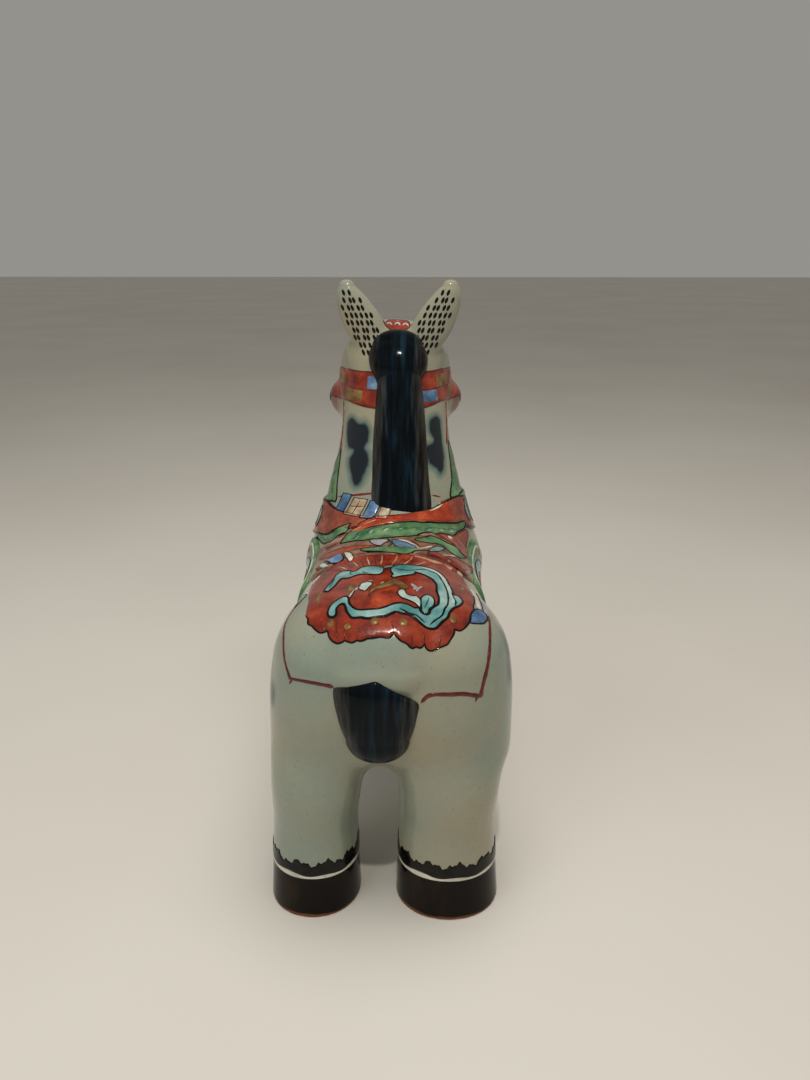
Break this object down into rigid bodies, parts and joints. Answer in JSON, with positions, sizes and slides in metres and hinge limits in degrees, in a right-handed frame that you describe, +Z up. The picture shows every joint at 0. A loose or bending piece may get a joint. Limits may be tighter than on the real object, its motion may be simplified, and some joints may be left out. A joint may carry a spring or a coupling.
{
  "type": "porcelain horse figurine",
  "caption": "Standing glazed porcelain horse in painted saddle cloth, collar and crupper; a free-standing ornament that rests on its hooves.",
  "frame": {"origin": "on the table under the middle of the horse's bounding box", "axes": "+Z up, +Y towards the nose, +X towards the horse's own right side"},
  "size_m": [0.0736, 0.1671, 0.18],
  "materials": {
    "celadon_glaze": "clear pale grey-green gloss glaze over white porcelain",
    "cobalt_glaze": "thick near-black cobalt gloss glaze",
    "hoof_glaze": "dark brown iron gloss glaze",
    "iron_red_enamel": "glossy overglaze iron-red enamel",
    "green_enamel": "translucent glossy overglaze green enamel",
    "turquoise_enamel": "thick glossy overglaze turquoise enamel"
  },
  "bodies": {
    "root": {"trunk_left_shell": "celadon_glaze", "trunk_right_shell": "celadon_glaze", "neck_shell": "celadon_glaze", "head_shell": "celadon_glaze", "tail_dock": "celadon_glaze", "tail": "cobalt_glaze", "mane_ridge": "cobalt_glaze", "topknot": "cobalt_glaze", "left_ear": "celadon_glaze", "hind_left_leg": "celadon_glaze", "hind_left_hoof": "hoof_glaze", "fore_left_leg": "celadon_glaze", "fore_left_hoof": "hoof_glaze", "left_saddle_flap": "turquoise_enamel", "right_ear": "celadon_glaze", "hind_right_leg": "celadon_glaze", "hind_right_hoof": "hoof_glaze", "fore_right_leg": "celadon_glaze", "fore_right_hoof": "hoof_glaze", "right_saddle_flap": "turquoise_enamel", "collar_cloth": "iron_red_enamel", "saddle_seat": "iron_red_enamel", "saddle_front_arch": "green_enamel", "saddle_rear_arch": "green_enamel"}
  },
  "joints": []
}
